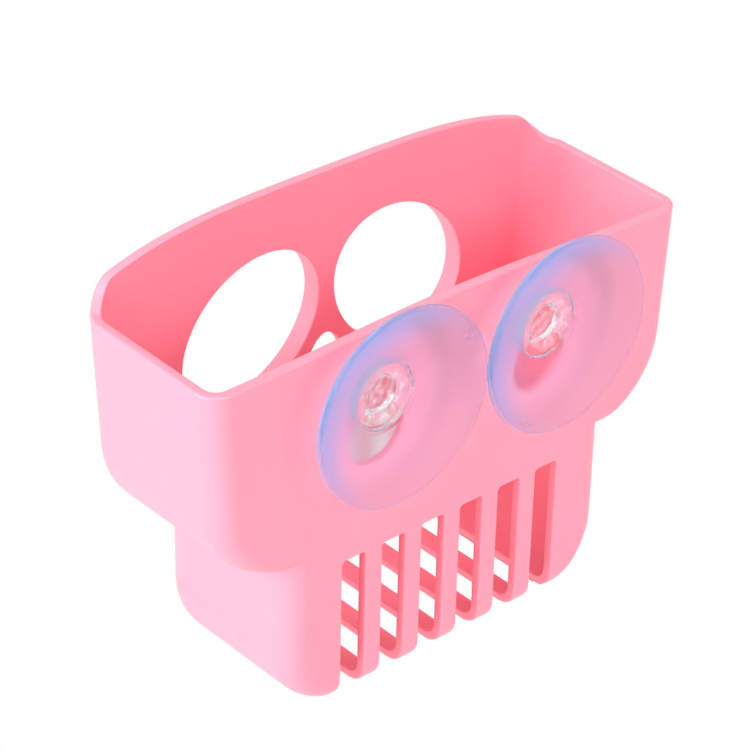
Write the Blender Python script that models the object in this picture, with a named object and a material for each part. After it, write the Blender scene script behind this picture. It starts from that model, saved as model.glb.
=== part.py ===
"""Dishcloth holder: a skull-shaped tub moulded in one piece, hung on two clear suction cups.

X runs across the width, +Y is the wall side with the cups, -Y is the face, Z is up from the base.
"""

import math

import bmesh
import bpy
from mathutils import Matrix, Vector

mm = 0.001

# Tub: the wide upper part of the body
tub_width = 147.0 * mm
tub_depth = 50.5 * mm
tub_height = 54.4 * mm
tub_front_corner = 9.5 * mm
tub_back_corner = 6.0 * mm
tub_side_lean = 2.0 * mm
tub_front_fillet = 7.0 * mm
tub_back_fillet = 2.6 * mm
wall = 2.7 * mm

# Rim: rises a little forward along the sides, arched behind, with a crest in front
side_rise = 1.0 * mm
back_rise = 2.2 * mm
crest_rise = 14.0 * mm
shoulder_drop = 6.2 * mm
crest_run_down = 10.5 * mm
rim_chamfer = 0.4 * mm
crest_roundness = 3.6

# Jaw: the narrower lower part, slotted like teeth
jaw_width = 103.0 * mm
jaw_height = 44.8 * mm
jaw_front_corner = 11.5 * mm
jaw_back_corner = 6.5 * mm
jaw_lower_corner = 17.0 * mm
jaw_front_fillet = 9.0 * mm
jaw_back_fillet = 6.2 * mm
jaw_shoulder = 0.4 * mm
floor_thickness = 2.4 * mm

# Teeth: slots that run up both faces and through the floor
slot_count = 6
slot_pitch = 12.5 * mm
slot_width = 7.25 * mm
slot_top = 40.2 * mm
slot_corner = 1.0 * mm

# Face openings in the front wall
eye_length = 44.7 * mm
eye_breadth = 36.2 * mm
eye_tilt = math.radians(37)
eye_spacing = 47.0 * mm
eye_height = 76.9 * mm
eye_rim_width = 2.4 * mm
eye_rim_reach = 3.0 * mm
eye_rim_chamfer = 0.5 * mm
nose_width = 12.8 * mm
nose_top = 67.9 * mm
nose_length = 12.5 * mm
nose_notch = 2.0 * mm
nose_point_share = 0.62
nose_spread_share = 0.5
nose_notch_sharpness = 8

# Keyholes in the back wall, which hold the necks of the cups
cup_gap = 0.6 * mm
cup_height = 84.0 * mm
entry_drop = 11.6 * mm
entry_diameter = 16.0 * mm

# Suction cups: head behind the wall, neck in the keyhole, collar and dish outside
cup_diameter = 50.8 * mm
cup_reach = 10.0 * mm
lip_flat = 0.8 * mm
lip_thickness = 0.8 * mm
dish_thickness = 1.8 * mm
collar_diameter = 17.6 * mm
collar_thickness = 2.2 * mm
neck_diameter = 9.0 * mm
head_diameter = 14.2 * mm
head_thickness = 3.2 * mm
head_edge = 1.0 * mm
nub_diameter = 2.2 * mm
nub_height = 0.7 * mm
left_nub_turn = math.radians(-60)
right_nub_turn = math.radians(150)
dish_roundness = 2.2

# Clearances and cutting allowances
seat_gap = 0.3 * mm
neck_clearance = 0.3 * mm
overrun = 3.0 * mm
merge_distance = 0.01 * mm

# Smoothness of the curves
corner_steps = 6
arch_steps = 16
side_steps = 4
profile_steps = 6
hole_steps = 40
turn_steps = 44
dish_steps = 8
head_steps = 3
nub_steps = 10

# Finishes, with linear colours
plastic_color = (0.96, 0.38, 0.49)
plastic_roughness = 0.42
vinyl_color = (0.86, 0.86, 0.98)
vinyl_roughness = 0.15
vinyl_transmission = 0.85

# Sizes that follow: the tub's lower corners end where its level floor meets the jaw
side_rim_height = jaw_height + tub_height
cup_spacing = cup_diameter + cup_gap
tub_lower_corner = (tub_width - jaw_width) / 2 - tub_side_lean - jaw_shoulder
lean_per_height = tub_side_lean / (tub_height - tub_lower_corner)


def clear_scene():
    for old in list(bpy.data.objects):
        bpy.data.objects.remove(old, do_unlink=True)


def make_material(name, color, roughness, transmission=0.0):
    material = bpy.data.materials.new(name)
    material.use_nodes = True
    shader = material.node_tree.nodes["Principled BSDF"]
    shader.inputs["Base Color"].default_value = (*color, 1.0)
    shader.inputs["Roughness"].default_value = roughness
    shader.inputs["Metallic"].default_value = 0.0
    shader.inputs["Transmission Weight"].default_value = transmission
    return material


def object_from(bm, name, material=None):
    """An object that holds the bmesh, shaded smooth with its sharp edges kept."""
    bmesh.ops.recalc_face_normals(bm, faces=bm.faces)
    mesh = bpy.data.meshes.new(name)
    bm.to_mesh(mesh)
    bm.free()
    mesh.shade_smooth()
    mesh.set_sharp_from_angle(angle=math.radians(30))
    made = bpy.data.objects.new(name, mesh)
    bpy.context.collection.objects.link(made)
    if material:
        mesh.materials.append(material)
    return made


def as_cutter(cutter):
    cutter.hide_render = True
    cutter.display_type = "WIRE"
    return cutter


def add_boolean(target, other, operation):
    modifier = target.modifiers.new(other.name, "BOOLEAN")
    modifier.operation = operation
    modifier.solver = "EXACT"
    modifier.object = other
    as_cutter(other)


def plan_ring(half_width, front_in, back_in, front_corner, back_corner):
    """The points round a rounded rectangle, from the middle of the front, by way of +X.

    The front and the back have drawn in from the tub's outer faces, and their corners with them.
    """
    front = front_in - tub_depth / 2
    back = tub_depth / 2 - back_in
    front_radius = max(front_corner - front_in, rim_chamfer)
    back_radius = max(back_corner - back_in, rim_chamfer)
    half_arch = arch_steps // 2
    half = []
    for step in range(half_arch):
        half.append(((half_width - front_radius) * step / half_arch, front))
    for step in range(corner_steps + 1):
        turn = math.pi / 2 * step / corner_steps
        x = half_width - front_radius + front_radius * math.sin(turn)
        half.append((x, front + front_radius - front_radius * math.cos(turn)))
    side_run = back - back_radius - front - front_radius
    for step in range(1, side_steps):
        half.append((half_width, front + front_radius + side_run * step / side_steps))
    for step in range(corner_steps + 1):
        turn = math.pi / 2 * step / corner_steps
        x = half_width - back_radius + back_radius * math.cos(turn)
        half.append((x, back - back_radius + back_radius * math.sin(turn)))
    for step in reversed(range(half_arch)):
        half.append(((half_width - back_radius) * step / half_arch, back))
    return half + [(-x, y) for x, y in reversed(half[1:-1])]


def loft(name, rings, material=None):
    """A closed solid through the rings, which have equal counts, with a cap at each end."""
    bm = bmesh.new()
    loops = [[bm.verts.new(point) for point in ring] for ring in rings]
    count = len(loops[0])
    for lower, upper in zip(loops, loops[1:]):
        for index in range(count):
            after = (index + 1) % count
            bm.faces.new((lower[index], lower[after], upper[after], upper[index]))
    bm.faces.new(reversed(loops[0]))
    bm.faces.new(loops[-1])
    return object_from(bm, name, material)


def fillet_inset(height, radius):
    """How far a rounded lower edge has drawn in, at a height above its lowest point."""
    if height >= radius:
        return 0.0
    return radius - math.sqrt(max(radius**2 - (radius - height) ** 2, 0.0))


def rounded_heights(radii):
    """Heights above the lowest point that follow each of the rounded lower edges."""
    heights = {0.0}
    for radius in radii:
        for step in range(1, profile_steps + 1):
            heights.add(radius * (1 - math.cos(math.pi / 2 * step / profile_steps)))
    return sorted(heights)


def rim_height(x, y):
    """The height of the rim over a point of the tub's outer plan."""
    run_x = tub_width / 2 - tub_front_corner
    run_y = tub_depth / 2 - tub_front_corner
    level = side_rim_height + side_rise * (tub_depth / 2 - y) / tub_depth
    shoulder = side_rim_height + crest_rise - shoulder_drop
    if y >= tub_depth / 2 - tub_back_corner:
        return level + back_rise * math.cos(math.pi * x / tub_width) ** 2
    if y <= -run_y and abs(x) <= run_x:
        share = abs(x) / run_x
        return shoulder + shoulder_drop * (1 - share**crest_roundness)
    if y <= -run_y:
        travelled = tub_front_corner * math.atan2(abs(x) - run_x, -y - run_y)
    else:
        travelled = tub_front_corner * math.pi / 2 + y + run_y
    # A cubic that leaves the crest at the crest's own slope and meets the side rim level
    share = min(travelled / crest_run_down, 1.0)
    slope = -shoulder_drop * crest_roundness / run_x * crest_run_down
    start_weight = 1 - 3 * share**2 + 2 * share**3
    slope_weight = share - 2 * share**2 + share**3
    return level + (shoulder - level) * start_weight + slope * slope_weight


def tub_rings(inset):
    """The rings of the tub's surface at an inset from its outside, from its floor up."""
    lower_corner = tub_lower_corner - inset
    front_fillet = max(tub_front_fillet - inset, rim_chamfer)
    back_fillet = max(tub_back_fillet - inset, rim_chamfer)
    rings = []
    for height in rounded_heights((lower_corner, front_fillet, back_fillet)):
        z = jaw_height + inset + height
        lean = lean_per_height * max(side_rim_height - z, 0.0)
        half_width = tub_width / 2 - inset - lean - fillet_inset(height, lower_corner)
        front_in = inset + fillet_inset(height, front_fillet)
        back_in = inset + fillet_inset(height, back_fillet)
        plan = plan_ring(half_width, front_in, back_in, tub_front_corner, tub_back_corner)
        rings.append([(x, y, z) for x, y in plan])
    return rings


def rim_ring(inset, below_rim):
    """A ring of the tub close under its rim, which follows the rim's rise and fall."""
    corners = (tub_front_corner, tub_back_corner)
    outer = plan_ring(tub_width / 2, 0.0, 0.0, *corners)
    ring = plan_ring(tub_width / 2 - inset, inset, inset, *corners)
    return [(x, y, rim_height(*over) - below_rim) for (x, y), over in zip(ring, outer)]


def tub_shell():
    """The tub as one closed wall: up the outside, over the rim and down the inside."""
    outside = tub_rings(0.0)
    outside.append(rim_ring(0.0, rim_chamfer))
    outside.append(rim_ring(rim_chamfer, 0.0))
    inside = tub_rings(wall)
    inside.append(rim_ring(wall, rim_chamfer))
    inside.append(rim_ring(wall - rim_chamfer, 0.0))
    return outside + inside[::-1]


def jaw_top(y):
    """The height at which the jaw ends inside the tub's floor and its rounded edges."""
    fillet = tub_front_fillet if y < 0 else tub_back_fillet
    middle = max(fillet - wall / 2, rim_chamfer)
    beyond = min(max(abs(y) - tub_depth / 2 + fillet, 0.0), middle)
    return jaw_height + fillet - math.sqrt(middle**2 - beyond**2)


def jaw_rings(inset, floor, top_at):
    """The rings of the jaw's surface at an inset, up to a top that may vary with y."""
    lower_corner = jaw_lower_corner - inset
    front_fillet = jaw_front_fillet - inset
    back_fillet = jaw_back_fillet - inset
    corners = (jaw_front_corner, jaw_back_corner)
    half_width = jaw_width / 2 - inset
    rings = []
    for height in rounded_heights((lower_corner, front_fillet, back_fillet)):
        drawn_x = fillet_inset(height, lower_corner)
        front_in = inset + fillet_inset(height, front_fillet)
        back_in = inset + fillet_inset(height, back_fillet)
        plan = plan_ring(half_width - drawn_x, front_in, back_in, *corners)
        rings.append([(x, y, floor + height) for x, y in plan])
    rings.append([(x, y, top_at(y)) for x, y in plan_ring(half_width, inset, inset, *corners)])
    return rings


def prism(name, outline, y_from, y_to):
    """A solid that carries an outline of (x, z) points along Y."""
    return loft(name, [[(x, y, z) for x, z in outline] for y in (y_from, y_to)])


def slot_outline(x_middle):
    half = slot_width / 2
    outline = [(x_middle - half, -overrun), (x_middle + half, -overrun)]
    for side in (1, -1):
        for step in range(corner_steps + 1):
            turn = math.pi / 2 * (step if side > 0 else corner_steps - step) / corner_steps
            x = x_middle + side * (half - slot_corner + slot_corner * math.cos(turn))
            outline.append((x, slot_top - slot_corner + slot_corner * math.sin(turn)))
    return outline


def eye_outline(side, outset=0.0):
    """The tilted oval of an eye, or of its rim at an outset."""
    outline = []
    for step in range(hole_steps):
        turn = 2 * math.pi * step / hole_steps
        along = (eye_length / 2 + outset) * math.cos(turn)
        across = (eye_breadth / 2 + outset) * math.sin(turn)
        x = eye_spacing / 2 + along * math.cos(eye_tilt) + across * math.sin(eye_tilt)
        z = eye_height - along * math.sin(eye_tilt) + across * math.cos(eye_tilt)
        outline.append((side * x, z))
    return outline


def eye_rim(name, side):
    """The solid that stands out round an eye, with its outer edge chamfered."""
    front = -tub_depth / 2
    levels = (
        (front + wall / 2, eye_rim_width),
        (front - eye_rim_reach + eye_rim_chamfer, eye_rim_width),
        (front - eye_rim_reach, eye_rim_width - eye_rim_chamfer),
    )
    return loft(name, [[(x, y, z) for x, z in eye_outline(side, outset)] for y, outset in levels])


def nose_outline():
    """A rounded triangle, point up, with a shallow notch in its lower edge."""
    outline = []
    for step in range(hole_steps):
        turn = 2 * math.pi * step / hole_steps
        fall = (1 - math.cos(turn)) / 2
        spread = nose_point_share + nose_spread_share * fall
        x = nose_width / 2 * math.sin(turn) * spread
        notch = nose_notch * max(0.0, -math.cos(turn)) ** nose_notch_sharpness
        outline.append((x, nose_top - nose_length * fall + notch))
    return outline


def keyhole_outline(x_middle):
    """A round entry with a narrow slot above it that ends round, where the neck sits."""
    entry_radius = entry_diameter / 2
    slot_half = neck_diameter / 2 + neck_clearance
    entry_z = cup_height - entry_drop
    meet = math.asin(slot_half / entry_radius)
    outline = []
    for step in range(hole_steps + 1):
        turn = meet + (2 * math.pi - 2 * meet) * step / hole_steps
        x = x_middle + entry_radius * math.sin(turn)
        outline.append((x, entry_z + entry_radius * math.cos(turn)))
    half_steps = hole_steps // 2
    for step in range(half_steps + 1):
        turn = math.pi * step / half_steps
        x = x_middle - slot_half * math.cos(turn)
        outline.append((x, cup_height + slot_half * math.sin(turn)))
    return outline


def build_body(material):
    body = loft("holder_body", tub_shell(), material)
    add_boolean(body, loft("jaw_solid", jaw_rings(0.0, 0.0, jaw_top)), "UNION")
    top = jaw_height + max(tub_front_fillet, tub_back_fillet) + overrun
    cavity = loft("jaw_cavity", jaw_rings(wall, floor_thickness, lambda y: top))
    add_boolean(body, cavity, "DIFFERENCE")

    front = -tub_depth / 2
    back = tub_depth / 2
    for index in range(slot_count):
        x_middle = (index - (slot_count - 1) / 2) * slot_pitch
        slot = prism(f"slot_{index + 1}", slot_outline(x_middle), front - overrun, back + overrun)
        add_boolean(body, slot, "DIFFERENCE")
    for side, name in ((-1, "left"), (1, "right")):
        add_boolean(body, eye_rim(f"{name}_eye_rim", side), "UNION")
    for side, name in ((-1, "left"), (1, "right")):
        eye_from = front - eye_rim_reach - overrun
        eye = prism(f"{name}_eye", eye_outline(side), eye_from, front + wall + overrun)
        add_boolean(body, eye, "DIFFERENCE")
        outline = keyhole_outline(side * cup_spacing / 2)
        keyhole = prism(f"{name}_keyhole", outline, back - wall - overrun, back + overrun)
        add_boolean(body, keyhole, "DIFFERENCE")
    nose = prism("nose", nose_outline(), front - overrun, front + wall + overrun)
    add_boolean(body, nose, "DIFFERENCE")
    return body


def dish_front(radius):
    """How far out the hollow side of the dish lies, at a radius from the cup's axis."""
    floor = seat_gap + collar_thickness + dish_thickness / 2
    lip_radius = cup_diameter / 2 - lip_flat
    return floor + (cup_reach - floor) * (radius / lip_radius) ** dish_roundness


def cup_profile():
    """The half section of a cup as (radius, distance out from the wall's outer face)."""
    head_front = -wall - seat_gap
    head_back = head_front - head_thickness
    lip_radius = cup_diameter / 2 - lip_flat
    profile = [(0.0, head_back)]
    for step in range(head_steps + 1):
        turn = math.pi / 2 * step / head_steps
        radius = head_diameter / 2 - head_edge + head_edge * math.sin(turn)
        profile.append((radius, head_back + head_edge - head_edge * math.cos(turn)))
    profile.append((head_diameter / 2, head_front))
    profile.append((neck_diameter / 2, head_front))
    profile.append((neck_diameter / 2, seat_gap))
    profile.append((collar_diameter / 2, seat_gap))
    for step in range(dish_steps + 1):
        share = step / dish_steps
        radius = collar_diameter / 2 + (cup_diameter - collar_diameter) / 2 * share
        thickness = dish_thickness + (lip_thickness - dish_thickness) * share
        out = dish_front(min(radius, lip_radius)) - thickness
        profile.append((radius, max(out, seat_gap + collar_thickness)))
    profile.append((cup_diameter / 2, cup_reach))
    for step in range(dish_steps):
        radius = lip_radius * (1 - step / dish_steps)
        profile.append((radius, dish_front(radius)))
    profile.append((0.0, dish_front(0.0)))
    return profile


def turned(name, profile, steps, material=None):
    """A solid turned about its local Y axis."""
    bm = bmesh.new()
    ends = [bm.verts.new((radius, out, 0.0)) for radius, out in profile]
    for first, second in zip(ends, ends[1:]):
        bm.edges.new((first, second))
    bmesh.ops.spin(
        bm,
        geom=bm.verts[:] + bm.edges[:],
        axis=Vector((0, 1, 0)),
        cent=Vector((0, 0, 0)),
        angle=2 * math.pi,
        steps=steps,
        use_merge=True,
    )
    bmesh.ops.remove_doubles(bm, verts=bm.verts[:], dist=merge_distance)
    return object_from(bm, name, material)


def build_cup(name, side, nub_turn, material):
    """One cup, with its origin on its axis in the plane of the wall's outer face."""
    cup = turned(name, cup_profile(), turn_steps, material)
    nub_radius = cup_diameter / 2 - nub_diameter
    nub_profile = [(0.0, -nub_height), (nub_diameter / 2, -nub_height)]
    for step in range(head_steps + 1):
        turn = math.pi / 2 * step / head_steps
        nub_profile.append((nub_diameter / 2 * math.cos(turn), nub_height * math.sin(turn)))
    nub = turned(f"{name}_nub", nub_profile, nub_steps)
    x = nub_radius * math.cos(nub_turn)
    z = nub_radius * math.sin(nub_turn)
    nub.data.transform(Matrix.Translation((x, dish_front(nub_radius), z)))
    nub.parent = cup
    add_boolean(cup, nub, "UNION")
    cup.location = (side * cup_spacing / 2, tub_depth / 2, cup_height)
    return cup


def main():
    clear_scene()
    pink = make_material("pink_plastic", plastic_color, plastic_roughness)
    clear = make_material("clear_soft_vinyl", vinyl_color, vinyl_roughness, vinyl_transmission)
    build_body(pink)
    build_cup("left_suction_cup", -1, left_nub_turn, clear)
    build_cup("right_suction_cup", 1, right_nub_turn, clear)


main()
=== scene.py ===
import math

import bmesh
import bpy
from mathutils import Matrix, Vector


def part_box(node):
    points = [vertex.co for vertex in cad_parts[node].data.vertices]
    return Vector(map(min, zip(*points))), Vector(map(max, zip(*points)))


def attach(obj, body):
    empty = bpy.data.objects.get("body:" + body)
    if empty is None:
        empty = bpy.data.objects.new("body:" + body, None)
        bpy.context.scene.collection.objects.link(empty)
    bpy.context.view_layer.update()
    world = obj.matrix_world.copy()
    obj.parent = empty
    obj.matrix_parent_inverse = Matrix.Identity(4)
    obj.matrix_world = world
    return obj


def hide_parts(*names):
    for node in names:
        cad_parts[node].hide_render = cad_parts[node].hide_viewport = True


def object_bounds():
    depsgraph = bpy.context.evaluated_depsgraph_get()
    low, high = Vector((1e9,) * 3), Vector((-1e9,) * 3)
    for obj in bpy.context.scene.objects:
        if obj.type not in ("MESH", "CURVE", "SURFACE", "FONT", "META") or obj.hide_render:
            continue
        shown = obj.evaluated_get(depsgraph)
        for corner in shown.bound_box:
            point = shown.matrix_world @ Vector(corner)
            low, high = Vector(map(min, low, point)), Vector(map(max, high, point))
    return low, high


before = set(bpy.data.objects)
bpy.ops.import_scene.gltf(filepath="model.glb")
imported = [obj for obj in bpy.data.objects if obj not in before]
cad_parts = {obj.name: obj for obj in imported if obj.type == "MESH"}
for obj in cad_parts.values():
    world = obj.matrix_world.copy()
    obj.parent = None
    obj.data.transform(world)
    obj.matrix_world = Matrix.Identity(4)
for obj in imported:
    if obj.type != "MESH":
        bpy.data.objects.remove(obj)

mm = 0.001
cadLow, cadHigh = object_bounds()
bodyLow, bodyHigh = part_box("holder_body")


# Turns an sRGB hex value to Blender's linear colour
def hexColor(code):
    channels = [int(code[at:at + 2], 16) / 255 for at in (1, 3, 5)]
    return (*[c / 12.92 if c <= 0.04045 else ((c + 0.055) / 1.055) ** 2.4 for c in channels], 1.0)


# Adds one node: sockets sets inputs by name or number, links takes (output, input) pairs
def addNode(tree, kind, settings=None, sockets=None, links=()):
    node = tree.nodes.new(kind)
    for name, value in (settings or {}).items():
        setattr(node, name, value)
    for name, value in (sockets or {}).items():
        node.inputs[name].default_value = value
    for output, name in links:
        tree.links.new(output, node.inputs[name])
    return node


def newMaterial(name):
    material = bpy.data.materials.new(name)
    material.use_nodes = True
    material.node_tree.nodes.clear()
    return material, material.node_tree


def objectFrom(bm, name, material=None):
    mesh = bpy.data.meshes.new(name)
    bm.to_mesh(mesh)
    bm.free()
    piece = bpy.data.objects.new(name, mesh)
    bpy.context.scene.collection.objects.link(piece)
    if material:
        mesh.materials.append(material)
    return piece


# Replaces an object by the plain mesh that its modifiers make
def settle(piece):
    graph = bpy.context.evaluated_depsgraph_get()
    graph.update()
    mesh = bpy.data.meshes.new_from_object(piece.evaluated_get(graph), depsgraph=graph)
    mesh.name = piece.name
    piece.modifiers.clear()
    piece.data = mesh


def cut(piece, cutter, operation):
    step = piece.modifiers.new(cutter.name, "BOOLEAN")
    step.object = cutter
    step.operation = operation
    step.solver = "EXACT"
    settle(piece)
    bpy.data.objects.remove(cutter)


# Joins the strips of the flat front and back walls, so that the next cut leaves no slivers
def joinFlats(piece):
    bm = bmesh.new()
    bm.from_mesh(piece.data)
    bmesh.ops.remove_doubles(bm, verts=bm.verts[:], dist=holder["mergeDistance"])
    flat = [
        edge for edge in bm.edges
        if all(abs(face.normal.y) > holder["flatNormal"] for face in edge.link_faces)
    ]
    bmesh.ops.dissolve_limit(bm, angle_limit=holder["flatLimit"], edges=flat)
    bm.to_mesh(piece.data)
    bm.free()


# Moulded body: a tub over a narrower slotted jaw, in the sizes of the frame.
# Of two corners or fillets, the first is on the face side and the second on the wall side
holder = {
    "wall": 2.7 * mm,
    "tubHeight": 54.4 * mm,
    "tubCorners": (9.5 * mm, 6.0 * mm),
    "sideLean": 2.0 * mm,  # how far a side draws in between its rim and its lower corner
    "lowerCorner": 19.6 * mm,  # as seen from the wall
    "tubFillets": (7.0 * mm, 2.6 * mm),
    "sideRise": 1.0 * mm,
    "backRise": 2.2 * mm,
    "crestRise": 14.0 * mm,
    "shoulderDrop": 6.2 * mm,
    "crestRunDown": 10.5 * mm,
    "crestPower": 3.6,  # a higher one gives a flatter crest
    "jawWidth": 103.0 * mm,
    "jawHeight": 44.8 * mm,
    "jawCorners": (11.5 * mm, 6.5 * mm),
    "jawLowerCorner": 18.2 * mm,  # as seen from the wall
    "jawFillets": (9.0 * mm, 6.2 * mm),
    "floorThickness": 2.4 * mm,
    "edgeRound": 0.6 * mm,
    "edgeSteps": 3,
    "innerRoundShare": 0.5,
    "sharpAngle": math.radians(32),  # folds sharper than this are rounded or kept crisp
    "flatLimit": math.radians(0.1),
    "flatNormal": 0.999999,
    "rimRounds": (0.8 * mm, 0.5 * mm),
    "smallestCorner": 0.3 * mm,
    "leastStep": 0.075 * mm,
    "mergeDistance": 0.002 * mm,
    "overrun": 3.0 * mm,  # how far a cutter reaches past what it cuts
    "archSteps": 56,
    "jawSteps": 2,
    "cornerSteps": 12,
    "sideSteps": 10,
    "profileSteps": 12,
    "rimSteps": 4,
}
tubWidth = bodyHigh.x - bodyLow.x
tubDepth = 2 * bodyHigh.y
sideRimHeight = holder["jawHeight"] + holder["tubHeight"]
leanPerHeight = holder["sideLean"] / (holder["tubHeight"] - holder["lowerCorner"])


# Points round a rounded rectangle, from the middle of the front by way of +X. Front and back
# have drawn in from the tub's outer faces, and their corners with them
def planRing(halfWidth, frontIn, backIn, corners, archSteps):
    front = frontIn - tubDepth / 2
    back = tubDepth / 2 - backIn
    frontRadius = max(corners[0] - frontIn, holder["smallestCorner"])
    backRadius = max(corners[1] - backIn, holder["smallestCorner"])
    halfArch = archSteps // 2
    cornerSteps = holder["cornerSteps"]
    sideSteps = holder["sideSteps"]
    half = [((halfWidth - frontRadius) * step / halfArch, front) for step in range(halfArch)]
    for step in range(cornerSteps + 1):
        turn = math.pi / 2 * step / cornerSteps
        x = halfWidth - frontRadius + frontRadius * math.sin(turn)
        half.append((x, front + frontRadius - frontRadius * math.cos(turn)))
    sideRun = back - backRadius - front - frontRadius
    for step in range(1, sideSteps):
        half.append((halfWidth, front + frontRadius + sideRun * step / sideSteps))
    for step in range(cornerSteps + 1):
        turn = math.pi / 2 * step / cornerSteps
        x = halfWidth - backRadius + backRadius * math.cos(turn)
        half.append((x, back - backRadius + backRadius * math.sin(turn)))
    for step in reversed(range(halfArch)):
        half.append(((halfWidth - backRadius) * step / halfArch, back))
    return half + [(-x, y) for x, y in reversed(half[1:-1])]


def loft(name, rings, material=None):
    bm = bmesh.new()
    loops = [[bm.verts.new(point) for point in ring] for ring in rings]
    count = len(loops[0])
    for lower, upper in zip(loops, loops[1:]):
        for index in range(count):
            after = (index + 1) % count
            bm.faces.new((lower[index], lower[after], upper[after], upper[index]))
    bm.faces.new(reversed(loops[0]))
    bm.faces.new(loops[-1])
    bmesh.ops.recalc_face_normals(bm, faces=bm.faces)
    return objectFrom(bm, name, material)


# How far a rounded lower edge has drawn in, at a height above its lowest point
def filletInset(height, radius):
    if height >= radius:
        return 0.0
    return radius - math.sqrt(max(radius ** 2 - (radius - height) ** 2, 0.0))


def roundedHeights(radii):
    steps = holder["profileSteps"]
    heights = {0.0}
    for radius in radii:
        for step in range(1, steps + 1):
            heights.add(radius * (1 - math.cos(math.pi / 2 * step / steps)))
    ordered = [0.0]
    for height in sorted(heights):
        if height - ordered[-1] > holder["leastStep"]:
            ordered.append(height)
    return ordered


# Height of the rim over a point of the tub's outer plan
def rimHeight(x, y):
    corner, backCorner = holder["tubCorners"]
    runX = tubWidth / 2 - corner
    runY = tubDepth / 2 - corner
    power = holder["crestPower"]
    level = sideRimHeight + holder["sideRise"] * (tubDepth / 2 - y) / tubDepth
    shoulder = sideRimHeight + holder["crestRise"] - holder["shoulderDrop"]
    if y >= tubDepth / 2 - backCorner:
        return level + holder["backRise"] * math.cos(math.pi * x / tubWidth) ** 2
    if y <= -runY and abs(x) <= runX:
        return shoulder + holder["shoulderDrop"] * (1 - (abs(x) / runX) ** power)
    if y <= -runY:
        travelled = corner * math.atan2(abs(x) - runX, -y - runY)
    else:
        travelled = corner * math.pi / 2 + y + runY
    # A cubic that leaves the crest at the crest's own slope and meets the side rim level
    share = min(travelled / holder["crestRunDown"], 1.0)
    slope = -holder["shoulderDrop"] * power / runX * holder["crestRunDown"]
    startWeight = 1 - 3 * share ** 2 + 2 * share ** 3
    slopeWeight = share - 2 * share ** 2 + share ** 3
    return level + (shoulder - level) * startWeight + slope * slopeWeight


def tubRings(inset):
    lowerCorner = holder["lowerCorner"] - inset
    smallest = holder["smallestCorner"]
    frontFillet, backFillet = [max(size - inset, smallest) for size in holder["tubFillets"]]
    rings = []
    for height in roundedHeights((lowerCorner, frontFillet, backFillet)):
        z = holder["jawHeight"] + inset + height
        lean = leanPerHeight * max(sideRimHeight - z, 0.0)
        halfWidth = tubWidth / 2 - inset - lean - filletInset(height, lowerCorner)
        frontIn = inset + filletInset(height, frontFillet)
        backIn = inset + filletInset(height, backFillet)
        ring = planRing(halfWidth, frontIn, backIn, holder["tubCorners"], holder["archSteps"])
        rings.append([(x, y, z) for x, y in ring])
    return rings


def rimRing(inset, belowRim):
    corners = holder["tubCorners"]
    steps = holder["archSteps"]
    outer = planRing(tubWidth / 2, 0.0, 0.0, corners, steps)
    ring = planRing(tubWidth / 2 - inset, inset, inset, corners, steps)
    return [(x, y, rimHeight(*over) - belowRim) for (x, y), over in zip(ring, outer)]


# The tub as one closed wall: up the outside, over the rounded rim and down the inside
def tubShell(material):
    wall = holder["wall"]
    outside, inside = [], []
    for radius, over in zip(holder["rimRounds"], (outside, inside)):
        for step in range(holder["rimSteps"] + 1):
            turn = math.pi / 2 * step / holder["rimSteps"]
            over.append((radius * (1 - math.cos(turn)), radius * (1 - math.sin(turn))))
    rings = tubRings(0.0)
    rings += [rimRing(inset, below) for inset, below in outside]
    rings += [rimRing(wall - inset, below) for inset, below in reversed(inside)]
    rings += tubRings(wall)[::-1]
    return loft("holderShell", rings, material)


# The height at which the jaw ends inside the tub's floor and its rounded edges
def jawTop(y):
    fillet = holder["tubFillets"][0 if y < 0 else 1]
    middle = max(fillet - holder["wall"] / 2, holder["smallestCorner"])
    beyond = min(max(abs(y) - tubDepth / 2 + fillet, 0.0), middle)
    return holder["jawHeight"] + fillet - math.sqrt(middle ** 2 - beyond ** 2)


def jawRings(inset, floor, topAt):
    lowerCorner = holder["jawLowerCorner"] - inset
    frontFillet, backFillet = [size - inset for size in holder["jawFillets"]]
    corners = holder["jawCorners"]
    halfWidth = holder["jawWidth"] / 2 - inset
    rings = []
    for height in roundedHeights((lowerCorner, frontFillet, backFillet)):
        frontIn = inset + filletInset(height, frontFillet)
        backIn = inset + filletInset(height, backFillet)
        plan = planRing(
            halfWidth - filletInset(height, lowerCorner), frontIn, backIn, corners, holder["jawSteps"],
        )
        rings.append([(x, y, floor + height) for x, y in plan])
    plan = planRing(halfWidth, inset, inset, corners, holder["jawSteps"])
    return rings + [[(x, y, topAt(y)) for x, y in plan]]


# Openings: eyes and nose in the face, keyholes behind, slots through the jaw
openings = {
    "slotCount": 6,
    "slotPitch": 12.5 * mm,
    "slotWidth": 7.25 * mm,
    "slotTop": 40.2 * mm,
    "slotCorner": 1.0 * mm,
    "eyeLength": 44.7 * mm,
    "eyeBreadth": 36.2 * mm,
    "eyeTilt": math.radians(37),
    "eyeSpacing": 47.0 * mm,
    "eyeHeight": 76.9 * mm,
    "eyeRimWidth": 2.4 * mm,
    "noseWidth": 12.8 * mm,
    "noseTop": 67.9 * mm,
    "noseLength": 12.5 * mm,
    "noseNotch": 2.0 * mm,
    "nosePointShare": 0.62,
    "noseSpreadShare": 0.5,
    "noseNotchPower": 8,  # a higher one gives a narrower notch
    "entryDrop": 11.6 * mm,  # from the seat down to the entry's middle
    "entryDiameter": 16.0 * mm,
    "neckSlot": 9.6 * mm,
    "cornerSteps": 5,
    "roundSteps": 88,
    "edgeRound": 0.5 * mm,
    "rimRound": 0.9 * mm,
    "rimRoot": 0.6 * mm,
    "roundingSteps": 3,
    "mergeDistance": 0.001 * mm,
}


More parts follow.
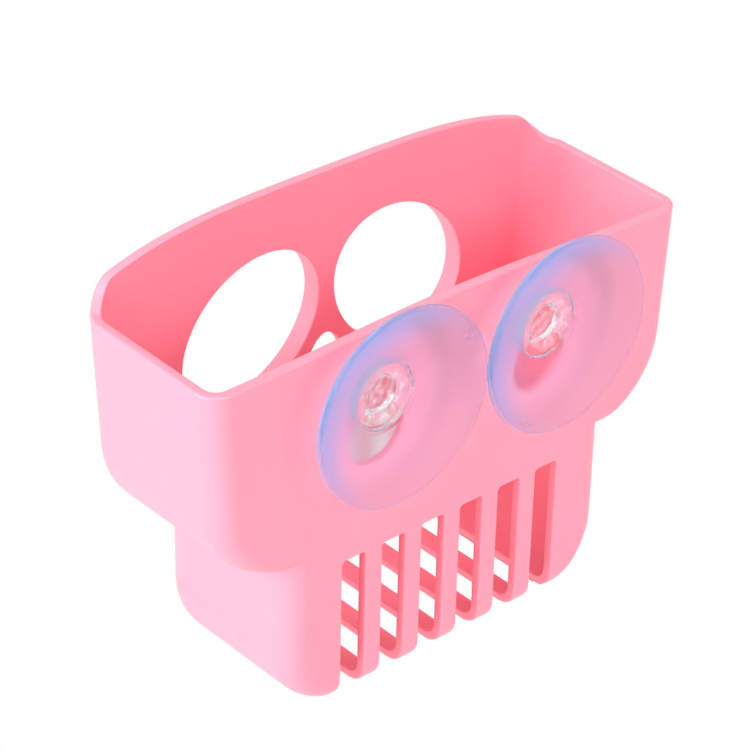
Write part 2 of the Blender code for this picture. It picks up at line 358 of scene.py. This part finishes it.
# Carries an outline of (x, z) points along Y: stations are (y, how far the outline grows)
def sweep(name, outlineAt, stations):
    return loft(name, [[(x, y, z) for x, z in outlineAt(outset)] for y, outset in stations])


# Stations of a quarter round from the side of an opening or rim out to the plane at y:
# towards is +1 or -1 along Y, and grows is +1 for an opening and -1 for a rim
def quarterRound(y, radius, towards, grows):
    steps = openings["roundingSteps"]
    stations = []
    for step in range(steps + 1):
        turn = math.pi / 2 * step / steps
        outset = grows * radius * (1 - math.cos(turn))
        stations.append((y - towards * radius * (1 - math.sin(turn)), outset))
    return stations


# A cutter for an opening whose edges are rounded in the two planes that it passes
def throughCutter(name, outlineAt, yLow, yHigh):
    radius = openings["edgeRound"]
    beyond = holder["overrun"]
    low = quarterRound(yLow, radius, -1, 1)
    high = quarterRound(yHigh, radius, 1, 1)
    stations = [(yLow - beyond, radius)] + low[::-1] + high + [(yHigh + beyond, radius)]
    return sweep(name, outlineAt, stations)


# The raised rim round an eye, with a small root where it grows out of the face
def eyeRim(side, yFace, yFront):
    width = openings["eyeRimWidth"]
    root = openings["rimRoot"]
    stations = [(yFace + holder["wall"] / 2, width + root)]
    for y, outset in quarterRound(yFace, root, 1, 1)[::-1]:
        stations.append((y, width + outset))
    for y, outset in quarterRound(yFront, openings["rimRound"], -1, -1):
        stations.append((y, width + outset))
    return sweep("eyeRim", lambda outset: eyeOutline(side, outset), stations)


def eyeOutline(side, outset):
    outline = []
    tilt = openings["eyeTilt"]
    for step in range(openings["roundSteps"]):
        turn = 2 * math.pi * step / openings["roundSteps"]
        along = (openings["eyeLength"] / 2 + outset) * math.cos(turn)
        across = (openings["eyeBreadth"] / 2 + outset) * math.sin(turn)
        x = openings["eyeSpacing"] / 2 + along * math.cos(tilt) + across * math.sin(tilt)
        z = openings["eyeHeight"] - along * math.sin(tilt) + across * math.cos(tilt)
        outline.append((side * x, z))
    return outline


# An outline that runs clockwise, grown by the same distance all round
def grown(outline, outset):
    larger = []
    for index, (x, z) in enumerate(outline):
        before = outline[index - 1]
        after = outline[(index + 1) % len(outline)]
        along = (Vector(after) - Vector(before)).normalized()
        larger.append((x - along.y * outset, z + along.x * outset))
    return larger


def noseOutline(outset):
    outline = []
    for step in range(openings["roundSteps"]):
        turn = 2 * math.pi * step / openings["roundSteps"]
        fall = (1 - math.cos(turn)) / 2
        spread = openings["nosePointShare"] + openings["noseSpreadShare"] * fall
        notch = openings["noseNotch"] * max(0.0, -math.cos(turn)) ** openings["noseNotchPower"]
        x = openings["noseWidth"] / 2 * math.sin(turn) * spread
        z = openings["noseTop"] - openings["noseLength"] * fall + notch
        outline.append((x, z))
    return grown(outline, outset)


# A round entry with a narrow slot above it that ends round, where the neck sits
def keyholeOutline(seat, outset):
    radius = openings["entryDiameter"] / 2 + outset
    half = openings["neckSlot"] / 2 + outset
    steps = openings["roundSteps"] // 2
    meet = math.asin(half / radius)
    outline = []
    for step in range(steps + 1):
        turn = meet + (2 * math.pi - 2 * meet) * step / steps
        z = seat.z - openings["entryDrop"] + radius * math.cos(turn)
        outline.append((seat.x + radius * math.sin(turn), z))
    for step in range(steps // 2 + 1):
        turn = math.pi * step / (steps // 2)
        outline.append((seat.x - half * math.cos(turn), seat.z + half * math.sin(turn)))
    return outline


# Geometry Nodes tree that repeats one rounded slot along X
def slotTree(material):
    tree = bpy.data.node_groups.new("toothSlots", "GeometryNodeTree")
    sizes = (
        ("Count", "NodeSocketInt"),
        ("Pitch", "NodeSocketFloat"),
        ("Width", "NodeSocketFloat"),
        ("Height", "NodeSocketFloat"),
        ("Depth", "NodeSocketFloat"),
        ("Corner", "NodeSocketFloat"),
        ("Corner Steps", "NodeSocketInt"),
        ("First Place", "NodeSocketVector"),
    )
    for name, kind in sizes:
        tree.interface.new_socket(name, in_out="INPUT", socket_type=kind)
    tree.interface.new_socket("Geometry", in_out="OUTPUT", socket_type="NodeSocketGeometry")
    given = addNode(tree, "NodeGroupInput").outputs
    outline = addNode(tree, "GeometryNodeCurvePrimitiveQuadrilateral", links=[
        (given["Width"], "Width"),
        (given["Height"], "Height"),
    ])
    rounded = addNode(tree, "GeometryNodeFilletCurve", {"mode": "POLY"}, links=[
        (outline.outputs["Curve"], "Curve"),
        (given["Corner"], "Radius"),
        (given["Corner Steps"], "Count"),
    ])
    filled = addNode(tree, "GeometryNodeFillCurve", {"mode": "NGONS"}, links=[
        (rounded.outputs["Curve"], "Curve"),
    ])
    upright = addNode(tree, "GeometryNodeTransform", sockets={"Rotation": (math.pi / 2, 0, 0)}, links=[
        (filled.outputs["Mesh"], "Geometry"),
    ])
    through = addNode(tree, "ShaderNodeCombineXYZ", links=[(given["Depth"], "Y")])
    solid = addNode(tree, "GeometryNodeExtrudeMesh", {"mode": "FACES"}, {"Individual": False}, links=[
        (upright.outputs["Geometry"], "Mesh"),
        (through.outputs["Vector"], "Offset"),
    ])
    capBack = addNode(tree, "GeometryNodeFlipFaces", links=[(upright.outputs["Geometry"], "Mesh")])
    closed = addNode(tree, "GeometryNodeJoinGeometry", links=[
        (solid.outputs["Mesh"], "Geometry"),
        (capBack.outputs["Mesh"], "Geometry"),
    ])
    step = addNode(tree, "ShaderNodeCombineXYZ", links=[(given["Pitch"], "X")])
    row = addNode(tree, "GeometryNodeMeshLine", {"mode": "OFFSET"}, links=[
        (given["Count"], "Count"),
        (given["First Place"], "Start Location"),
        (step.outputs["Vector"], "Offset"),
    ])
    copies = addNode(tree, "GeometryNodeInstanceOnPoints", links=[
        (row.outputs["Mesh"], "Points"),
        (closed.outputs["Geometry"], "Instance"),
    ])
    real = addNode(tree, "GeometryNodeRealizeInstances", links=[
        (copies.outputs["Instances"], "Geometry"),
    ])
    merged = addNode(tree, "GeometryNodeMergeByDistance", sockets={
        "Distance": openings["mergeDistance"],
    }, links=[(real.outputs["Geometry"], "Geometry")])
    painted = addNode(tree, "GeometryNodeSetMaterial", sockets={"Material": material}, links=[
        (merged.outputs["Geometry"], "Geometry"),
    ])
    addNode(tree, "NodeGroupOutput", links=[(painted.outputs["Geometry"], "Geometry")])
    return tree


def toothSlots(material):
    height = openings["slotTop"] + holder["overrun"]
    values = {
        "Count": openings["slotCount"],
        "Pitch": openings["slotPitch"],
        "Width": openings["slotWidth"],
        "Height": height,
        "Depth": tubDepth + 2 * holder["overrun"],
        "Corner": openings["slotCorner"],
        "Corner Steps": openings["cornerSteps"],
        "First Place": (
            -openings["slotPitch"] * (openings["slotCount"] - 1) / 2,
            -tubDepth / 2 - holder["overrun"],
            openings["slotTop"] - height / 2,
        ),
    }
    slots = objectFrom(bmesh.new(), "toothSlots")
    step = slots.modifiers.new("slots", "NODES")
    tree = slotTree(material)
    step.node_group = tree
    for item in tree.interface.items_tree:
        if item.in_out == "INPUT":
            step[item.identifier] = values[item.name]
    settle(slots)
    bm = bmesh.new()
    bm.from_mesh(slots.data)
    bmesh.ops.recalc_face_normals(bm, faces=bm.faces)
    bm.to_mesh(slots.data)
    bm.free()
    return slots


# Whether a point of the jaw lies nearer to its outer face than to its inner one
def onOuterFace(point):
    fillet = holder["jawFillets"][0 if point.y < 0 else 1]
    corner = fillet - holder["wall"] / 2
    aside = max(abs(point.y) - tubDepth / 2 + fillet, 0.0)
    below = max(holder["floorThickness"] / 2 + corner - point.z, 0.0)
    return math.hypot(aside, below) > corner


# Gives the outer edges of the slots their full rounding and the inner ones a smaller one,
# and keeps every fold that points inwards crisp
def markEdges(piece):
    bm = bmesh.new()
    bm.from_mesh(piece.data)
    rounding = bm.edges.layers.float.new("bevel_weight_edge")
    for edge in bm.edges:
        if len(edge.link_faces) != 2:
            continue
        angle = edge.calc_face_angle_signed()
        if angle > holder["sharpAngle"]:
            middle = (edge.verts[0].co + edge.verts[1].co) / 2
            edge[rounding] = 1.0 if onOuterFace(middle) else holder["innerRoundShare"]
        elif angle < -holder["sharpAngle"]:
            edge.smooth = False
    bm.to_mesh(piece.data)
    bm.free()


def makeHolder(material):
    wall = holder["wall"]
    front = -tubDepth / 2
    back = tubDepth / 2
    shell = tubShell(material)
    joinFlats(shell)
    cut(shell, loft("jawSolid", jawRings(0.0, 0.0, jawTop)), "UNION")
    top = holder["jawHeight"] + max(holder["tubFillets"]) + holder["overrun"]
    cut(shell, loft("jawCavity", jawRings(wall, holder["floorThickness"], lambda y: top)), "DIFFERENCE")
    joinFlats(shell)
    for side in (-1, 1):
        cut(shell, eyeRim(side, front, bodyLow.y), "UNION")
    cut(shell, toothSlots(material), "DIFFERENCE")
    for side, cup in ((-1, "left_suction_cup"), (1, "right_suction_cup")):
        seat = cupSeat(cup)
        eye = throughCutter("eye", lambda outset: eyeOutline(side, outset), bodyLow.y, front + wall)
        keyhole = throughCutter(
            "keyhole", lambda outset: keyholeOutline(seat, outset), back - wall, back,
        )
        cut(shell, eye, "DIFFERENCE")
        cut(shell, keyhole, "DIFFERENCE")
    cut(shell, throughCutter("nose", noseOutline, front, front + wall), "DIFFERENCE")
    joinFlats(shell)
    shell.data.shade_smooth()
    markEdges(shell)
    edges = shell.modifiers.new("roundedEdges", "BEVEL")
    edges.width = holder["edgeRound"]
    edges.segments = holder["edgeSteps"]
    edges.limit_method = "WEIGHT"
    edges.use_clamp_overlap = False
    edges.miter_outer = "MITER_ARC"
    flat = shell.modifiers.new("flatFaces", "WEIGHTED_NORMAL")
    flat.keep_sharp = True
    settle(shell)
    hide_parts("holder_body")
    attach(shell, "holder")
    print("holder:", len(shell.data.polygons), "faces")


# Suction cups: soft clear vinyl, moulded in one piece with neck and head
suctionCup = {
    "reach": 10.0 * mm,  # from the wall to the lip
    "lipFlat": 0.8 * mm,
    "lipThickness": 0.8 * mm,
    "dishThickness": 1.8 * mm,
    "collarDiameter": 17.6 * mm,
    "collarThickness": 2.2 * mm,
    "neckDiameter": 9.0 * mm,
    "headDiameter": 14.2 * mm,
    "headThickness": 3.2 * mm,
    "seatGap": 0.3 * mm,  # play on both sides of the wall
    "dishPower": 2.2,  # a higher one gives a flatter middle
    "dishSteps": 40,
    "turnSteps": 144,
    "nubDiameter": 2.2 * mm,
    "nubHeight": 0.7 * mm,
    "nubTurns": {"left_suction_cup": math.radians(-60), "right_suction_cup": math.radians(150)},
    "nubSteps": 6,
    "nubTurnSteps": 24,
    "edgeRound": 0.5 * mm,
    "headRound": 1.0 * mm,
    "lipRound": 0.25 * mm,
    "cornerShare": 0.45,
    "cornerSteps": 5,
    "mergeDistance": 0.002 * mm,
}


# Where a cup's axis passes the outer face of the wall
def cupSeat(node):
    low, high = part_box(node)
    return Vector(((low.x + high.x) / 2, tubDepth / 2, (low.z + high.z) / 2))


# Rounds the corners of a half section: points are (radius, out, rounding), and no rounding
# takes more than the corner share of an edge
def roundedProfile(points):
    share = suctionCup["cornerShare"]
    steps = suctionCup["cornerSteps"]
    profile = []
    for index, (radius, out, rounding) in enumerate(points):
        here = Vector((radius, out))
        if rounding <= 0 or index in (0, len(points) - 1):
            profile.append(here)
            continue
        before = Vector(points[index - 1][:2]) - here
        after = Vector(points[index + 1][:2]) - here
        reach = min(rounding, before.length * share, after.length * share)
        start = here + before.normalized() * reach
        end = here + after.normalized() * reach
        for step in range(steps + 1):
            along = step / steps
            profile.append(start * (1 - along) ** 2 + here * 2 * along * (1 - along) + end * along ** 2)
    return profile


def dishFront(radius, lipRadius):
    cup = suctionCup
    floor = cup["seatGap"] + cup["collarThickness"] + cup["dishThickness"] / 2
    return floor + (cup["reach"] - floor) * (radius / lipRadius) ** cup["dishPower"]


def cupProfile(diameter):
    cup = suctionCup
    edge = cup["edgeRound"]
    headFront = -holder["wall"] - cup["seatGap"]
    headBack = headFront - cup["headThickness"]
    lipRadius = diameter / 2 - cup["lipFlat"]
    collar = cup["collarDiameter"] / 2
    back = cup["seatGap"] + cup["collarThickness"]
    points = [
        (0.0, headBack, 0),
        (cup["headDiameter"] / 2, headBack, cup["headRound"]),
        (cup["headDiameter"] / 2, headFront, edge),
        (cup["neckDiameter"] / 2, headFront, edge),
        (cup["neckDiameter"] / 2, cup["seatGap"], edge),
        (collar, cup["seatGap"], edge),
        (collar, back, edge),
    ]
    steps = cup["dishSteps"]
    for step in range(1, steps + 1):
        share = step / steps
        radius = collar + (diameter / 2 - collar) * share
        thickness = cup["dishThickness"] + (cup["lipThickness"] - cup["dishThickness"]) * share
        out = dishFront(min(radius, lipRadius), lipRadius) - thickness
        points.append((radius, max(out, back), 0))
    points.append((diameter / 2, cup["reach"], cup["lipRound"]))
    for step in range(steps):
        radius = lipRadius * (1 - step / steps)
        points.append((radius, dishFront(radius, lipRadius), 0))
    points.append((0.0, dishFront(0.0, lipRadius), 0))
    return roundedProfile(points)


# Turns a half section about the local Y axis
def turned(name, profile, steps, material=None):
    bm = bmesh.new()
    ends = [bm.verts.new((point[0], point[1], 0.0)) for point in profile]
    for first, second in zip(ends, ends[1:]):
        bm.edges.new((first, second))
    bmesh.ops.spin(
        bm,
        geom=bm.verts[:] + bm.edges[:],
        axis=Vector((0, 1, 0)),
        cent=Vector((0, 0, 0)),
        angle=2 * math.pi,
        steps=steps,
        use_merge=True,
    )
    bmesh.ops.remove_doubles(bm, verts=bm.verts[:], dist=suctionCup["mergeDistance"])
    bmesh.ops.recalc_face_normals(bm, faces=bm.faces)
    return objectFrom(bm, name, material)


# The small stub that the mould's gate leaves on the lip
def gateNub(diameter, turn):
    half = suctionCup["nubDiameter"] / 2
    height = suctionCup["nubHeight"]
    steps = suctionCup["nubSteps"]
    profile = [Vector((0.0, -height)), Vector((half, -height))]
    for step in range(steps + 1):
        rise = math.pi / 2 * step / steps
        profile.append(Vector((half * math.cos(rise), height * math.sin(rise))))
    nub = turned("gateNub", profile, suctionCup["nubTurnSteps"])
    away = diameter / 2 - suctionCup["nubDiameter"]
    out = dishFront(away, diameter / 2 - suctionCup["lipFlat"])
    nub.data.transform(Matrix.Translation((away * math.cos(turn), out, away * math.sin(turn))))
    return nub


def makeCup(name, node, body, material):
    low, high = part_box(node)
    seat = cupSeat(node)
    diameter = high.x - low.x
    cup = turned(name, cupProfile(diameter), suctionCup["turnSteps"], material)
    cut(cup, gateNub(diameter, suctionCup["nubTurns"][node]), "UNION")
    cup.data.transform(Matrix.Translation(seat))
    cup.data.shade_smooth()
    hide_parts(node)
    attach(cup, body)
    print(name + ":", len(cup.data.polygons), "faces")


# Polypropylene, injection moulded in a fine-blasted steel mould: an even satin
# with a broad soft highlight, slightly see-through to light at thin edges
plastic = {
    "color": "#FB8EA1",
    "deepColor": "#F9899D",
    "cloudSize": 40.0 * mm,  # the slow change between the two colours
    "roughness": {"To Min": 0.35, "To Max": 0.41},
    "gloss": 0.55,
    "ior": 1.49,
    "scatter": 0.15,
    "scatterReach": (1.0, 0.35, 0.4),  # red light travels furthest inside
    "scatterDepth": 0.8 * mm,
    "grainSize": 0.35 * mm,  # real blasting is finer, and is drawn this coarse to show
    "grainHeight": 0.004 * mm,
    "noiseDetail": 2.0,
}


def mouldedPolypropylene():
    material, tree = newMaterial("mouldedPinkPolypropylene")
    place = addNode(tree, "ShaderNodeTexCoord").outputs["Object"]
    cloud = addNode(tree, "ShaderNodeTexNoise", sockets={
        "Scale": 1 / plastic["cloudSize"],
        "Detail": plastic["noiseDetail"],
    }, links=[(place, "Vector")])
    tint = addNode(tree, "ShaderNodeMix", {"data_type": "RGBA"}, {
        6: hexColor(plastic["color"]),
        7: hexColor(plastic["deepColor"]),
    }, [(cloud.outputs["Fac"], "Factor")])
    grain = addNode(tree, "ShaderNodeTexNoise", sockets={
        "Scale": 1 / plastic["grainSize"],
        "Detail": plastic["noiseDetail"],
    }, links=[(place, "Vector")])
    bump = addNode(tree, "ShaderNodeBump", sockets={"Distance": plastic["grainHeight"]}, links=[
        (grain.outputs["Fac"], "Height"),
    ])
    gloss = addNode(tree, "ShaderNodeMapRange", sockets=plastic["roughness"], links=[
        (cloud.outputs["Fac"], "Value"),
    ])
    surface = addNode(tree, "ShaderNodeBsdfPrincipled", sockets={
        "IOR": plastic["ior"],
        "Specular IOR Level": plastic["gloss"],
        "Subsurface Weight": plastic["scatter"],
        "Subsurface Radius": plastic["scatterReach"],
        "Subsurface Scale": plastic["scatterDepth"],
    }, links=[
        (tint.outputs[2], "Base Color"),
        (gloss.outputs["Result"], "Roughness"),
        (bump.outputs["Normal"], "Normal"),
    ])
    addNode(tree, "ShaderNodeOutputMaterial", links=[(surface.outputs["BSDF"], "Surface")])
    return material


# Plasticised vinyl (PVC) with a blue tint against yellowing, moulded clear. The thin dish looks satin
# and softly milky, with little gloss, and bluish where it is seen edge on or at its lip. The thick
# middle is clearer and wetter, and it is rippled where the mould was filled, with whitish flecks that
# are partly frost and partly painted glints.
# A zone gives the distances from the cup's axis between which something fades in or out
vinyl = {
    "color": "#E7F6F8",
    "dishZone": {"From Min": 7.8 * mm, "From Max": 9.6 * mm},
    "roughness": {"To Min": 0.2, "To Max": 0.33},  # from the middle to the dish
    "ior": {"To Min": 1.4, "To Max": 1.12},  # lower in the thin dish, which hardly bends light
    "hazeColor": "#84A5E6",
    "hazeBack": 0.2,
    "haze": {"From Min": 0.36, "From Max": 0.66, "To Min": 0.045, "To Max": 0.35},  # by facing
    "lipZone": {"From Min": 17.0 * mm, "From Max": 24.0 * mm, "To Max": 0.08},
    "rippleSize": 1.7 * mm,
    "rippleHeight": 0.10 * mm,
    "rippleDetail": 1.0,
    "rippleZone": {"From Min": 6.0 * mm, "From Max": 7.4 * mm, "To Min": 1.0, "To Max": 0.0},
    # colour of the whitish flecks in the middle: partly frost, partly painted glints
    "glintFrostColor": "#F6EAF4",
    "flecks": {"From Min": 0.35, "From Max": 0.75, "To Max": 0.3},
    "shadowMiddle": "#F4EEF6",
    "shadowLip": "#A394A0",
    "shadowZone": {"From Min": 16.0 * mm, "From Max": 23.0 * mm},
}


# Distance from the axis of the nearer cup
def radiusInCup(tree, place):
    seat = cupSeat("right_suction_cup")
    split = addNode(tree, "ShaderNodeSeparateXYZ", links=[(place, "Vector")])
    side = addNode(tree, "ShaderNodeMath", {"operation": "ABSOLUTE"}, links=[(split.outputs["X"], 0)])
    across = addNode(tree, "ShaderNodeMath", {"operation": "SUBTRACT"}, {1: seat.x}, [
        (side.outputs["Value"], 0),
    ])
    along = addNode(tree, "ShaderNodeMath", {"operation": "SUBTRACT"}, {1: seat.z}, [
        (split.outputs["Z"], 0),
    ])
    flat = addNode(tree, "ShaderNodeCombineXYZ", links=[
        (across.outputs["Value"], "X"),
        (along.outputs["Value"], "Y"),
    ])
    length = addNode(tree, "ShaderNodeVectorMath", {"operation": "LENGTH"}, links=[
        (flat.outputs["Vector"], 0),
    ])
    return length.outputs["Value"]


def clearVinyl():
    material, tree = newMaterial("clearSoftVinyl")
    smooth = {"interpolation_type": "SMOOTHSTEP"}
    place = addNode(tree, "ShaderNodeTexCoord").outputs["Object"]
    radius = radiusInCup(tree, place)
    inDish = addNode(tree, "ShaderNodeMapRange", smooth, vinyl["dishZone"], [(radius, "Value")])
    inRipple = addNode(tree, "ShaderNodeMapRange", smooth, vinyl["rippleZone"], [(radius, "Value")])

    # The clear vinyl itself
    ripple = addNode(tree, "ShaderNodeTexNoise", sockets={
        "Scale": 1 / vinyl["rippleSize"],
        "Detail": vinyl["rippleDetail"],
    }, links=[(place, "Vector")])
    bump = addNode(tree, "ShaderNodeBump", sockets={"Distance": vinyl["rippleHeight"]}, links=[
        (ripple.outputs["Fac"], "Height"),
        (inRipple.outputs["Result"], "Strength"),
    ])
    roughness = addNode(tree, "ShaderNodeMapRange", smooth, vinyl["roughness"], [
        (inDish.outputs["Result"], "Value"),
    ])
    ior = addNode(tree, "ShaderNodeMapRange", smooth, vinyl["ior"], [
        (inDish.outputs["Result"], "Value"),
    ])
    gloss = addNode(tree, "ShaderNodeBsdfPrincipled", sockets={
        "Base Color": hexColor(vinyl["color"]),
        "Transmission Weight": 1.0,
    }, links=[
        (roughness.outputs["Result"], "Roughness"),
        (ior.outputs["Result"], "IOR"),
        (bump.outputs["Normal"], "Normal"),
    ])

    # The milky blue of the dish, stronger edge on and at the lip
    front = addNode(tree, "ShaderNodeBsdfDiffuse", sockets={"Color": hexColor(vinyl["hazeColor"])})
    through = addNode(tree, "ShaderNodeBsdfTranslucent", sockets={"Color": hexColor(vinyl["hazeColor"])})
    haze = addNode(tree, "ShaderNodeMixShader", sockets={"Fac": vinyl["hazeBack"]}, links=[
        (front.outputs["BSDF"], 1),
        (through.outputs["BSDF"], 2),
    ])
    facing = addNode(tree, "ShaderNodeLayerWeight")
    lip = addNode(tree, "ShaderNodeMapRange", smooth, vinyl["lipZone"], [(radius, "Value")])
    edgeOn = addNode(tree, "ShaderNodeMath", {"operation": "ADD"}, links=[
        (facing.outputs["Facing"], 0),
        (lip.outputs["Result"], 1),
    ])
    share = addNode(tree, "ShaderNodeMapRange", smooth, vinyl["haze"], [
        (edgeOn.outputs["Value"], "Value"),
    ])
    milk = addNode(tree, "ShaderNodeMath", {"operation": "MULTIPLY"}, links=[
        (share.outputs["Result"], 0),
        (inDish.outputs["Result"], 1),
    ])
    tinted = addNode(tree, "ShaderNodeMixShader", links=[
        (milk.outputs["Value"], "Fac"),
        (gloss.outputs["BSDF"], 1),
        (haze.outputs["Shader"], 2),
    ])

    # The rippled middle gets whitish flecks, partly frost and partly painted glints that stand in for
    # its sparkle
    flecks = addNode(tree, "ShaderNodeMapRange", smooth, vinyl["flecks"], [
        (ripple.outputs["Fac"], "Value"),
    ])
    glintFrostShare = addNode(tree, "ShaderNodeMath", {"operation": "MULTIPLY"}, links=[
        (flecks.outputs["Result"], 0),
        (inRipple.outputs["Result"], 1),
    ])
    glintFrostDiffuse = addNode(tree, "ShaderNodeBsdfDiffuse", sockets={"Color": hexColor(vinyl["glintFrostColor"])})
    flecked = addNode(tree, "ShaderNodeMixShader", links=[
        (glintFrostShare.outputs["Value"], "Fac"),
        (tinted.outputs["Shader"], 1),
        (glintFrostDiffuse.outputs["BSDF"], 2),
    ])

    # The thick lip bends light away, so the shadow of a cup is a soft ring
    ring = addNode(tree, "ShaderNodeMapRange", smooth, vinyl["shadowZone"], [(radius, "Value")])
    shadow = addNode(tree, "ShaderNodeMix", {"data_type": "RGBA"}, {
        6: hexColor(vinyl["shadowMiddle"]),
        7: hexColor(vinyl["shadowLip"]),
    }, [(ring.outputs["Result"], "Factor")])
    passed = addNode(tree, "ShaderNodeBsdfTransparent", links=[(shadow.outputs[2], "Color")])
    light = addNode(tree, "ShaderNodeLightPath")
    surface = addNode(tree, "ShaderNodeMixShader", links=[
        (light.outputs["Is Shadow Ray"], "Fac"),
        (flecked.outputs["Shader"], 1),
        (passed.outputs["BSDF"], 2),
    ])
    addNode(tree, "ShaderNodeOutputMaterial", links=[(surface.outputs["Shader"], "Surface")])
    return material


# The photo's viewpoint, found by fitting the object's sizes to the photo
camera = {
    "place": (404.67 * mm, 448.77 * mm, 434.32 * mm),
    "turn": math.radians(41.78),
    "rise": math.radians(31.34),
    "roll": math.radians(1.36),
    "lens": 140.55,
    "sensor": 36.0,
    "near": 0.01,
    "far": 20.0,
}


def makeCamera():
    turn = camera["turn"]
    rise = camera["rise"]
    roll = camera["roll"]
    back = Vector((math.sin(turn) * math.cos(rise), math.cos(turn) * math.cos(rise), math.sin(rise)))
    right = Vector((-math.cos(turn), math.sin(turn), 0.0))
    up = back.cross(right)
    across = right * math.cos(roll) + up * math.sin(roll)
    upright = up * math.cos(roll) - right * math.sin(roll)
    data = bpy.data.cameras.new("photoCamera")
    data.lens = camera["lens"]
    data.sensor_width = camera["sensor"]
    data.clip_start = camera["near"]
    data.clip_end = camera["far"]
    eye = bpy.data.objects.new("photoCamera", data)
    facing = Matrix((across, upright, back)).transposed().to_4x4()
    eye.matrix_world = Matrix.Translation(camera["place"]) @ facing
    bpy.context.scene.collection.objects.link(eye)
    bpy.context.scene.camera = eye


# Soft boxes round the object, over a matt pale floor, in metres and watts
studio = {
    "background": "#FFFFFF",
    "worldStrength": 0.66,
    "floorColor": "#F3F3F3",
    "floorRoughness": 0.9,
    "floorDrop": 0.35,
    "floorSize": 8.0,
    "lamps": {
        "keyBox": {"place": (-0.15, 1.30, 0.70), "size": 0.6, "power": 9.4},
        "leftBox": {"place": (1.35, -0.12, 0.55), "size": 1.2, "power": 29.0},
        "topBox": {"place": (0.10, 0.20, 1.50), "size": 0.8, "power": 5.0},
    },
}


# 1 for the rays that see the background, straight or in gloss and glass, and 0 for the others
def seenBackground(tree):
    path = addNode(tree, "ShaderNodeLightPath")
    glass = addNode(tree, "ShaderNodeMath", {"operation": "MAXIMUM"}, links=[
        (path.outputs["Is Glossy Ray"], 0),
        (path.outputs["Is Transmission Ray"], 1),
    ])
    ray = addNode(tree, "ShaderNodeMath", {"operation": "MAXIMUM"}, links=[
        (path.outputs["Is Camera Ray"], 0),
        (glass.outputs["Value"], 1),
    ])
    return ray.outputs["Value"]


def makeStudio():
    background = hexColor(studio["background"])
    world = bpy.data.worlds.new("studio")
    bpy.context.scene.world = world
    world.use_nodes = True
    tree = world.node_tree
    tree.nodes.clear()
    strength = addNode(tree, "ShaderNodeMapRange", sockets={"To Min": studio["worldStrength"]}, links=[
        (seenBackground(tree), "Value"),
    ])
    sky = addNode(tree, "ShaderNodeBackground", sockets={"Color": background}, links=[
        (strength.outputs["Result"], "Strength"),
    ])
    addNode(tree, "ShaderNodeOutputWorld", links=[(sky.outputs["Background"], "Surface")])

    material, tree = newMaterial("paleFloor")
    matt = addNode(tree, "ShaderNodeBsdfPrincipled", sockets={
        "Base Color": hexColor(studio["floorColor"]),
        "Roughness": studio["floorRoughness"],
    })
    white = addNode(tree, "ShaderNodeEmission", sockets={"Color": background})
    mixed = addNode(tree, "ShaderNodeMixShader", links=[
        (seenBackground(tree), "Fac"),
        (matt.outputs["BSDF"], 1),
        (white.outputs["Emission"], 2),
    ])
    addNode(tree, "ShaderNodeOutputMaterial", links=[(mixed.outputs["Shader"], "Surface")])
    bm = bmesh.new()
    bmesh.ops.create_grid(bm, x_segments=1, y_segments=1, size=studio["floorSize"] / 2)
    floor = objectFrom(bm, "paleFloor", material)
    floor.location = (0, 0, cadLow.z - studio["floorDrop"])

    aim = Vector((0, 0, (cadLow.z + cadHigh.z) / 2))
    for name, lamp in studio["lamps"].items():
        data = bpy.data.lights.new(name, "AREA")
        data.shape = "DISK"
        data.size = lamp["size"]
        data.energy = lamp["power"]
        box = bpy.data.objects.new(name, data)
        place = Vector(lamp["place"])
        turn = (aim - place).to_track_quat("-Z", "Y").to_matrix().to_4x4()
        box.matrix_world = Matrix.Translation(place) @ turn
        bpy.context.scene.collection.objects.link(box)
    bpy.context.scene.view_settings.view_transform = "Standard"


makeCamera()
makeStudio()
print("camera and studio ready")
pink = mouldedPolypropylene()
clear = clearVinyl()
print("materials ready")
makeHolder(pink)
makeCup("leftSuctionCup", "left_suction_cup", "left_cup", clear)
makeCup("rightSuctionCup", "right_suction_cup", "right_cup", clear)
